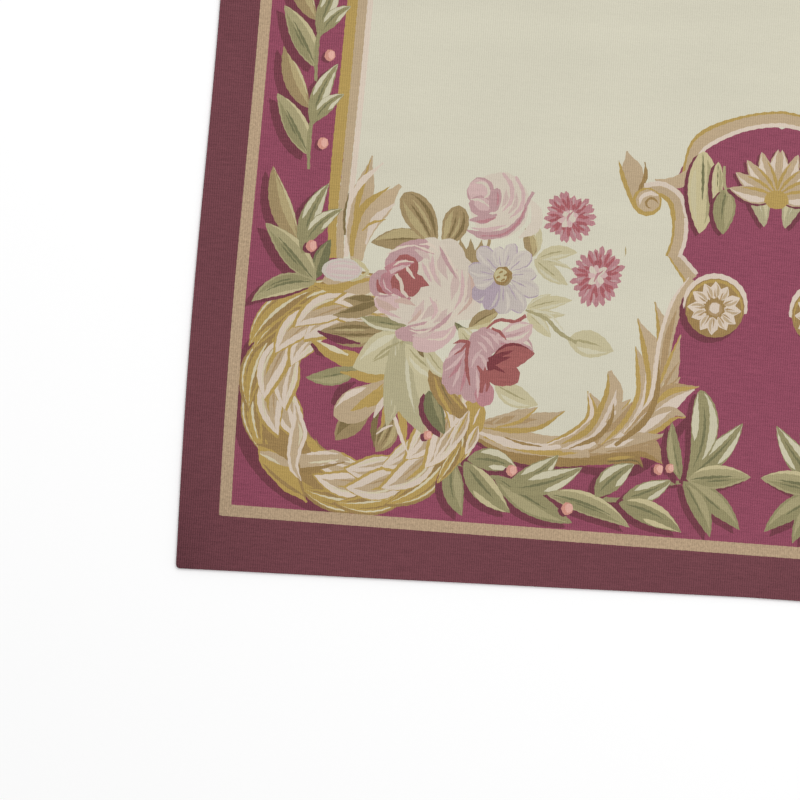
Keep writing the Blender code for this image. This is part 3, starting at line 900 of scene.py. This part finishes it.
def woven(outline, step, depth):  # a smooth outline stepped by the yarns
    points = []
    gone = step
    for before, a, b in zip(outline[-1:] + outline, outline, outline[1:] + outline[:1]):
        run = b - a
        if run.length < loom["samePoint"]:
            continue
        across = Vector((-run.y, run.x)).normalized()
        back = (a - before).length
        if back > loom["samePoint"] and (a - before).dot(run) < loom["sharpTurn"] * back * run.length:
            points.append(a)  # a corner or a tip stays sharp
            gone = 0
        tooth = depth * (loom["straightTooth"] if run.length > loom["straightRun"] * step else 1.0)
        while gone < run.length:
            sign = 1 if len(points) % 2 else -1
            drift = across * sign * tooth * chance.uniform(loom["leastTooth"], 1.0)
            points.append(a + run * gone / run.length + drift)
            gone += step
        gone -= run.length
    return points


def isInside(point, outline):
    inside = False
    for a, b in zip(outline, outline[1:] + outline[:1]):
        if (a.y > point.y) != (b.y > point.y):
            if point.x < a.x + (b.x - a.x) * (point.y - a.y) / (b.y - a.y):
                inside = not inside
    return inside


def startedInside(outline):  # turned so that the first edge has the shape on its left
    for i in range(0, len(outline), 3):
        a, b = outline[i], outline[(i + 1) % len(outline)]
        left = Vector((a.y - b.y, b.x - a.x)).normalized() * loom["justInside"]
        if isInside((a + b) / 2 + left, outline):
            return outline[i:] + outline[:i]
    return None


def cutAll(outlines):  # every outline cut into every other: points, triangles, the shape on top of each
    edge = clothEdge()
    points, faces = list(edge), [list(range(len(edge)))]
    for outline in outlines:
        faces.append(list(range(len(points), len(points) + len(outline))))
        points.extend(outline)
    cut = delaunay_2d_cdt(points, [], faces, 1, 1e-5)
    centres = [(cut[0][a] + cut[0][b] + cut[0][c]) / 3 for a, b, c in cut[2]]
    areas = [abs(turnedArea([cut[0][i] for i in face])) for face in cut[2]]
    covered = [0.0] * (len(outlines) + 1)
    for area, owned in zip(areas, cut[5]):
        for index in owned:
            covered[index] += area
    # a line that crosses itself can fill wrongly, so such shapes are tested point by point
    share, least = loom["doubtShare"], loom["doubtArea"]
    doubtful = [i for i, outline in enumerate(outlines)
                if abs(covered[i + 1] - abs(turnedArea(outline))) > share * covered[i + 1] + least]
    inside = [set(owned) - {i + 1 for i in doubtful} for owned in cut[5]]
    size = loom["cell"]
    cells = {}
    for face, centre in enumerate(centres):
        cells.setdefault((int(centre.x // size), int(centre.y // size)), []).append(face)
    for i in doubtful:
        across = [int(point.x // size) for point in outlines[i]]
        along = [int(point.y // size) for point in outlines[i]]
        for column in range(min(across), max(across) + 1):
            for row in range(min(along), max(along) + 1):
                for face in cells.get((column, row), []):
                    if isInside(centres[face], outlines[i]):
                        inside[face].add(i + 1)
    print("shapes filled point by point:", len(doubtful))
    return cut[0], [(face, max(owned) - 1) for face, owned in zip(cut[2], inside) if 0 in owned]


def innerPoints(edge, kept):  # plain points between the outlines, for even faces
    pitch = cloth["gridStep"]
    taken = {(round(p.x), round(p.y)) for p in kept}
    found = []
    for row in range(-2, int(50 * cloth["fieldLength"] / pitch * 1.2)):
        for column in range(-2, int(50 * cloth["fieldWidth"] / pitch) + 1):
            point = Vector(((column + 0.5 * (row % 2)) * pitch, row * pitch * loom["rowShare"]))
            near = {(round(point.x) + i, round(point.y) + k) for i in (-1, 0, 1) for k in (-1, 0, 1)}
            if not near & taken and isInside(point, edge):
                found.append(point)
    return found


def cutQuarter(step, depth, smallest, shortest):
    outlines, owners, grounds = [], [], {}
    for index, (yarn, outline) in enumerate(shapes):
        outline = startedInside(woven(outline, step, depth))
        if outline and turnedArea(outline) > smallest:
            outlines.append(outline)
            owners.append(index)
            if yarn in ("shade", "crimson", "ivory"):  # one dye lot each
                grounds.setdefault(yarn, len(owners) - 1)
    points, triangles = cutAll(outlines)
    triangles = [(face, grounds.get(shapes[owners[at]][0], at) if at >= 0 else -1) for face, at in triangles]
    # only the outlines that show are kept, and the cloth is cut again along those
    leftOf = {}
    for face, owner in triangles:
        for a, b in zip(face, face[1:] + face[:1]):
            leftOf[(a, b)] = owner
    walls = [(a, b) for (a, b), owner in leftOf.items()
             if leftOf.get((b, a)) != owner and (a < b or (b, a) not in leftOf)]
    points, home = joinedClose(points, walls, shortest)
    used = sorted({home[i] for wall in walls for i in wall})
    place = {old: new for new, old in enumerate(used)}
    kept = [points[i] for i in used]
    kept += innerPoints(clothEdge(), kept)
    walls = [(a, b) for a, b in walls if home[a] != home[b]]
    cut = delaunay_2d_cdt(kept, [(place[home[a]], place[home[b]]) for a, b in walls], [], 0, 1e-6)
    runs = [points[home[b]] - points[home[a]] for a, b in walls]
    return cut[0], ownedFaces(cut, walls, runs, leftOf, owners)


def joinedClose(points, walls, shortest):  # ends of very short outline pieces become one point
    points = [point.copy() for point in points]
    home = list(range(len(points)))
    size = [0.0] * len(points)
    middle, half = 50 * cloth["fieldWidth"], 50 * cloth["fieldLength"]
    side, end = -100 * (cloth["sideBand"] - cloth["rim"]), -100 * (nominalEnd() - cloth["rim"])
    fixed = {i for i, p in enumerate(points)
             if min(abs(p.x - middle), abs(p.y - half), abs(p.x - side), abs(p.y - end)) < loom["keptEdge"]}

    def found(i):
        while home[i] != i:
            home[i] = home[home[i]]
            i = home[i]
        return i

    for gap, a, b in sorted(((points[a] - points[b]).length, a, b) for a, b in walls):
        if gap > shortest:
            break
        a, b = found(a), found(b)
        grown = size[a] + size[b] + (points[a] - points[b]).length
        if a != b and a not in fixed and b not in fixed and grown < loom["mostJoined"] * shortest:
            points[a] = (points[a] + points[b]) / 2
            home[b] = a
            size[a] = grown
    return points, [found(i) for i in range(len(points))]


def ownedFaces(cut, walls, runs, leftOf, owners):  # the outlines round a patch of cloth tell its shape
    verts, edges, faces, oldVerts, oldEdges = cut[:5]
    faceAt = {}
    for index, face in enumerate(faces):
        for pair in zip(face, face[1:] + face[:1]):
            faceAt[pair] = index
    votes = {}
    closed = set()
    for (a, b), olds in zip(edges, oldEdges):
        if not olds:
            continue
        closed.update([(a, b), (b, a)])
        length = (verts[b] - verts[a]).length
        for old in olds:
            first, second = walls[old]
            along = (verts[b] - verts[a]).dot(runs[old]) > 0
            for pair, wall in (((a, b), (first, second)), ((b, a), (second, first))):
                index = faceAt.get(pair)
                side = leftOf.get(wall if along else wall[::-1])
                if index is not None:
                    votes.setdefault(index, []).append((side, length))
    owner = {}
    for start in range(len(faces)):
        if start in owner:
            continue
        piece, waiting, count = {start}, [start], {}
        while waiting:
            index = waiting.pop()
            for side, length in votes.get(index, []):
                count[side] = count.get(side, 0) + length
            face = faces[index]
            for a, b in zip(face, face[1:] + face[:1]):
                beyond = faceAt.get((b, a))
                if (a, b) not in closed and beyond is not None and beyond not in piece:
                    piece.add(beyond)
                    waiting.append(beyond)
        best = max(count, key=count.get) if count else None
        for index in piece:
            owner[index] = best
    return [(face, owners[owner[i]] if owner[i] >= 0 else -1) for i, face in enumerate(faces)
            if owner[i] is not None]


def quarterMesh(*finish):
    points, triangles = cutQuarter(*finish)
    bm = bmesh.new()
    shade = bm.faces.layers.int.new("shade")
    used = {}
    for face, owner in triangles:
        corners = []
        for index in face:
            if index not in used:
                x = points[index].x / 100 - cloth["fieldWidth"] / 2
                y = points[index].y / 100 - cloth["fieldLength"] / 2
                x, y = [0 if abs(value) < loom["seamGap"] / 2 else value for value in (x, y)]
                used[index] = bm.verts.new((x, y, 0))
            corners.append(used[index])
        made = bm.faces.new(corners)
        made[shade] = owner
    return bm


def mirror(bm, axis):
    result = bmesh.ops.duplicate(bm, geom=bm.verts[:] + bm.edges[:] + bm.faces[:])
    copies = [item for item in result["geom"] if isinstance(item, bmesh.types.BMVert)]
    turned = [item for item in result["geom"] if isinstance(item, bmesh.types.BMFace)]
    factor = [1, 1, 1]
    factor[axis] = -1
    bmesh.ops.scale(bm, vec=factor, verts=copies)
    bmesh.ops.reverse_faces(bm, faces=turned)
    seam = [vertex for vertex in bm.verts if abs(vertex.co[axis]) < loom["onSeam"]]
    bmesh.ops.remove_doubles(bm, verts=seam, dist=loom["seamGap"])


def bandDepth(across, column):
    for left, right in zip(cloth["endBands"], cloth["endBands"][1:]):
        if across <= right[0]:
            share = (across - left[0]) / (right[0] - left[0])
            return left[column] + (right[column] - left[column]) * share
    return cloth["endBands"][-1][column]


def loomPlace(x, y):  # where a point of the square-drawn cloth lies
    half = cloth["fieldWidth"] / 2 + cloth["sideBand"]
    fieldEnd = cloth["fieldLength"] / 2
    if abs(y) > fieldEnd:
        depth = bandDepth(min(max(x / half, -1), 1), 1 if y < 0 else 2)
        y = math.copysign(fieldEnd + (abs(y) - fieldEnd) * depth / nominalEnd(), y)
    fade = min(max((abs(x) - (cloth["fieldWidth"] / 2 - cloth["swayReach"])) / cloth["swayReach"], 0), 1)
    turns = (y - cloth["swayWidest"]) / cloth["swayWave"]
    return x - cloth["sway"] * math.cos(2 * math.pi * turns) * fade, y


def wholeFace(height, facesUp, *finish):
    bm = quarterMesh(*finish)
    mirror(bm, 0)
    mirror(bm, 1)
    for vertex in bm.verts:
        x, y = loomPlace(vertex.co.x, vertex.co.y)
        vertex.co = (x, y, height)
    bm.normal_update()
    if (sum(face.normal.z for face in bm.faces) > 0) != facesUp:
        bmesh.ops.reverse_faces(bm, faces=bm.faces[:])
    return bm


def addRim(bm):  # the turned hem, rounded above and below
    height, rim = cloth["thickness"], cloth["rim"]
    # how far out and how high each row lies, as shares of the rounding
    above = [(0.45, 0.92), (0.85, 0.55), (1.0, 0.0)]
    profile = [(rim * out, height - rim * (1 - up)) for out, up in above]
    profile += [(rim * out, rim * (1 - up)) for out, up in reversed(above)] + [(0.0, 0.0)]
    edges = [edge for edge in bm.edges if edge.is_boundary]
    outward = {}  # which way is out at each point of the outline
    for edge in edges:
        a, b = edge.verts
        run = (b.co - a.co).normalized()
        out = Vector((run.y, -run.x, 0))
        if out.dot((a.co + b.co) / 2 - edge.link_faces[0].calc_center_median()) < 0:
            out = -out
        for vertex in edge.verts:
            outward[vertex] = outward.get(vertex, Vector((0, 0, 0))) + out
    columns = {}
    for vertex, out in outward.items():
        x, y = vertex.co.xy
        out = out.normalized()
        columns[vertex] = [vertex]
        for reach, z in profile:
            columns[vertex].append(bm.verts.new((x + out.x * reach, y + out.y * reach, z)))
    shade = bm.faces.layers.int["shade"]
    for edge in edges:
        start = edge.link_loops[0].vert
        left, right = columns[start], columns[edge.other_vert(start)]
        for row in range(len(profile)):
            face = bm.faces.new((right[row], left[row], left[row + 1], right[row + 1]))
            face[shade] = -1


def buildRug():
    drawPattern()
    print("pattern shapes:", len(shapes))
    top = wholeFace(cloth["thickness"], True, *cloth["faceCut"])
    print("top faces:", len(top.faces))
    addRim(top)
    back = wholeFace(0.0, False, *cloth["backCut"])
    print("back faces:", len(back.faces))
    backMesh = bpy.data.meshes.new("back")
    back.to_mesh(backMesh)
    back.free()
    top.from_mesh(backMesh)
    bpy.data.meshes.remove(backMesh)
    seam = [vertex for vertex in top.verts if abs(vertex.co.z) < loom["onSeam"] and vertex.is_boundary]
    bmesh.ops.remove_doubles(top, verts=seam, dist=loom["hemGap"])
    print("open edges left:", sum(e.is_boundary for e in top.edges))
    mesh = bpy.data.meshes.new("wovenRug")
    top.to_mesh(mesh)
    top.free()
    rug = bpy.data.objects.new("wovenRug", mesh)
    bpy.context.scene.collection.objects.link(rug)
    colourFaces(mesh)
    mesh.shade_smooth()
    mesh.set_sharp_from_angle(angle=math.radians(loom["smoothUpTo"]))
    return rug


def linear(value):  # one channel of a yarn, 0 to 255, as linear light
    value /= 255
    return value / 12.92 if value <= 0.04045 else ((value + 0.055) / 1.055) ** 2.4


def colourFaces(mesh):  # each face takes its yarn, dyed a little unevenly
    lots = []
    for yarn, _ in shapes:
        lot = chance.uniform(*loom["dyeLot"])
        lots.append([linear(c) * lot for c in yarns[yarn]] + [1.0])
    band = [linear(c) for c in yarns["band"]] + [1.0]
    owners = [0] * len(mesh.polygons)
    mesh.attributes["shade"].data.foreach_get("value", owners)
    colours, flecks = [], []
    for face, owner in zip(mesh.polygons, owners):
        colour = band if owner < 0 else lots[owner]
        fleck = 1.0 if owner >= 0 and shapes[owner][0] == "stripe" else 0.0
        for corner in range(face.loop_total):
            colours.extend(colour)
            flecks.append(fleck)
    layer = mesh.attributes.new("yarn", "FLOAT_COLOR", "CORNER")
    layer.data.foreach_set("color", colours)
    layer = mesh.attributes.new("fleck", "FLOAT", "CORNER")
    layer.data.foreach_set("value", flecks)
    mesh.attributes.remove(mesh.attributes["shade"])


# Wool

class Thread:  # one socket of a material, with plain arithmetic on it
    def __init__(self, tree, socket=None):
        self.tree = tree
        self.socket = socket

    def node(self, kind, settings, values, out=0):
        made = self.tree.nodes.new(kind)
        for name, value in settings.items():
            setattr(made, name, value)
        for name, value in values.items():
            if isinstance(value, Thread):
                self.tree.links.new(value.socket, made.inputs[name])
            else:
                made.inputs[name].default_value = value
        return Thread(self.tree, made.outputs[out])

    def maths(self, operation, first, second=0.0):
        return self.node("ShaderNodeMath", {"operation": operation}, {0: first, 1: second})

    def __add__(self, other):
        return self.maths("ADD", self, other)

    def __radd__(self, other):
        return self.maths("ADD", other, self)

    def __sub__(self, other):
        return self.maths("SUBTRACT", self, other)

    def __rsub__(self, other):
        return self.maths("SUBTRACT", other, self)

    def __mul__(self, other):
        return self.maths("MULTIPLY", self, other)

    def __rmul__(self, other):
        return self.maths("MULTIPLY", other, self)

    def __truediv__(self, other):
        return self.maths("DIVIDE", self, other)

    def __pow__(self, other):
        return self.maths("POWER", self, other)

    def wave(self):  # 0 in the dips and 1 on the crests, one wave for each whole number
        return self.maths("COSINE", self * (2 * math.pi)) * 0.5 + 0.5

    def noise(self, stretch, detail=2.0):  # about -0.5 to 0.5, features 1 / stretch metres long
        mapped = self.node("ShaderNodeMapping", {}, {"Vector": self, "Scale": stretch})
        return self.node("ShaderNodeTexNoise", {}, {"Vector": mapped, "Scale": 1.0, "Detail": detail}) - 0.5

    def tinted(self, amount):  # a colour made lighter or darker by a factor
        grey = self.node("ShaderNodeCombineXYZ", {}, {"X": amount, "Y": amount, "Z": amount})
        return self.node("ShaderNodeVectorMath", {"operation": "MULTIPLY"}, {0: self, 1: grey})


wool = {
    "ribPitch": 0.00235,  # one warp
    "weftPitch": 0.0011,
    "paintedRibShade": 0.20,  # painted shade: how dark the valleys between ribs are
    # painted shade in the dips between passes of weft
    "paintedWeftShade": 0.10,
    "pickShade": 0.34,  # unevenness of each pass of weft
    "fuzzShade": 0.5,
    "bandShade": 0.10,  # slow changes of dye up the rug
    "wearShade": 0.08,
    "stripeFleck": 0.6,
    "cornerShade": 0.35,  # painted shade that darkens the corners
    "cornerAt": (0.6127, 0.92),
    "darkGrain": 2.3,  # how much texture shows on the darkest yarn
    "grainLoss": 2.7,  # how much less on the palest
    "leastGrain": 0.24,
    "bumpDepth": 0.0005,
    "bumpStrength": 0.55,
    "roughness": 0.93,
    "gloss": 0.05,
    "sheen": 0.03,
    "sheenRoughness": 0.6,
}


def woolMaterial():
    material = bpy.data.materials.new("wovenWool")
    material.use_nodes = True
    tree = material.node_tree
    shader = tree.nodes["Principled BSDF"]
    start = Thread(tree)
    place = start.node("ShaderNodeTexCoord", {}, {}, "Object")
    yarn = start.node("ShaderNodeAttribute", {"attribute_name": "yarn"}, {}, "Color")
    fleck = start.node("ShaderNodeAttribute", {"attribute_name": "fleck"}, {}, "Fac")
    x, y = [start.node("ShaderNodeSeparateXYZ", {}, {"Vector": place}, axis) for axis in "XY"]

    drift = place.noise((9, 5, 1), 1.0)
    ribs = x / wool["ribPitch"] + drift * 0.9
    rib = ribs.wave()
    column = ribs.maths("ROUND", ribs)
    weft = (y / wool["weftPitch"] + column * 0.5 + place.noise((60, 30, 1), 1.0) * 1.2).wave()
    pick = place.noise((45, 620, 1), 2.0)  # each pass of weft is dyed a little unevenly
    fuzz = place.noise((700, 800, 400), 2.0)
    abrash = place.noise((3, 26, 1), 2.0)
    wear = place.noise((7, 6, 1), 3.0)
    knots = place.noise((430, 330, 1), 1.0)

    # pale yarn hides its own shadows, dark yarn shows every hair
    depth = start.node("ShaderNodeRGBToBW", {}, {"Color": yarn})
    grain = wool["darkGrain"] - wool["grainLoss"] * depth ** 0.5
    grain = grain.maths("MAXIMUM", grain, wool["leastGrain"])
    # the rib and weft terms are painted shade in the valleys; the pick and fuzz terms are the yarn's own
    # unevenness
    texture = (rib - 0.5) * wool["paintedRibShade"] + (weft - 0.5) * wool["paintedWeftShade"]
    texture = texture + pick * wool["pickShade"] + fuzz * wool["fuzzShade"]
    right, far = wool["cornerAt"]
    corner = (x * x * y * y / (right * far) ** 2) ** 4  # 0 in the middle, 1 at the corners
    light = 1 + texture * grain + abrash * wool["bandShade"] + wear * wool["wearShade"]
    # painted shade: the colour is darkened towards the four corners
    light = light + fleck * knots * wool["stripeFleck"] - corner * wool["cornerShade"]
    colour = yarn.tinted(light)
    tree.links.new(colour.socket, shader.inputs["Base Color"])
    rough = wool["roughness"] + fuzz * 0.1
    tree.links.new(rough.socket, shader.inputs["Roughness"])
    height = rib * 0.7 + weft * rib * 0.3 + fuzz * 0.35
    bump = start.node("ShaderNodeBump", {}, {"Height": height, "Distance": wool["bumpDepth"],
                                             "Strength": wool["bumpStrength"]})
    tree.links.new(bump.socket, shader.inputs["Normal"])
    shader.inputs["Specular IOR Level"].default_value = wool["gloss"]
    shader.inputs["Sheen Weight"].default_value = wool["sheen"]
    shader.inputs["Sheen Roughness"].default_value = wool["sheenRoughness"]
    return material


# Room, light and camera

room = {
    "floorShade": 0.985,
    "floorRoughness": 0.9,
    "floorGloss": 0.1,
    "floorSize": 6.0,
    "floorDrop": 0.0003,  # below the back of the rug
    "skyStrength": 0.77,
    "lampPower": 73.0,
    "lampSize": 3.0,
    "lampPlace": (1.3, 1.6, 3.2),
    "lens": 70.0,
    "sensor": 36.0,
    "frameWidth": 0.8528,  # metres of rug across the picture
    "aim": (-0.3843, -0.7268),
    "turn": 4.29,
}


def addFloor():
    bm = bmesh.new()
    bmesh.ops.create_grid(bm, x_segments=1, y_segments=1, size=room["floorSize"])
    bmesh.ops.translate(bm, verts=bm.verts[:], vec=(0, 0, -room["floorDrop"]))
    mesh = bpy.data.meshes.new("floor")
    bm.to_mesh(mesh)
    bm.free()
    material = bpy.data.materials.new("paleFloor")
    material.use_nodes = True
    shader = material.node_tree.nodes["Principled BSDF"]
    shader.inputs["Base Color"].default_value = [room["floorShade"]] * 3 + [1.0]
    shader.inputs["Roughness"].default_value = room["floorRoughness"]
    shader.inputs["Specular IOR Level"].default_value = room["floorGloss"]
    mesh.materials.append(material)
    floor = bpy.data.objects.new("floor", mesh)
    bpy.context.scene.collection.objects.link(floor)


def addLight():
    world = bpy.data.worlds.new("studio")
    world.use_nodes = True
    world.node_tree.nodes["Background"].inputs["Color"].default_value = (1, 1, 1, 1)
    world.node_tree.nodes["Background"].inputs["Strength"].default_value = room["skyStrength"]
    bpy.context.scene.world = world
    lamp = bpy.data.lights.new("softLamp", "AREA")
    lamp.energy = room["lampPower"]
    lamp.size = room["lampSize"]
    holder = bpy.data.objects.new("softLamp", lamp)
    holder.location = room["lampPlace"]
    toRug = Vector((0, 0, 0)) - Vector(room["lampPlace"])
    holder.rotation_euler = toRug.to_track_quat("-Z", "Y").to_euler()
    bpy.context.scene.collection.objects.link(holder)


def addCamera():
    data = bpy.data.cameras.new("camera")
    data.lens = room["lens"]
    data.sensor_width = room["sensor"]
    away = room["frameWidth"] * room["lens"] / room["sensor"]
    camera = bpy.data.objects.new("camera", data)
    camera.location = (room["aim"][0], room["aim"][1], cloth["thickness"] + away)
    camera.rotation_euler = (0, 0, math.radians(room["turn"]))
    bpy.context.scene.collection.objects.link(camera)
    bpy.context.scene.camera = camera


addCamera()
addLight()
addFloor()
rug = buildRug()
rug.data.materials.append(woolMaterial())
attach(rug, "root")
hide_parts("rug")
bpy.context.scene.view_settings.view_transform = "Standard"
print("rug laid:", len(rug.data.polygons), "faces")
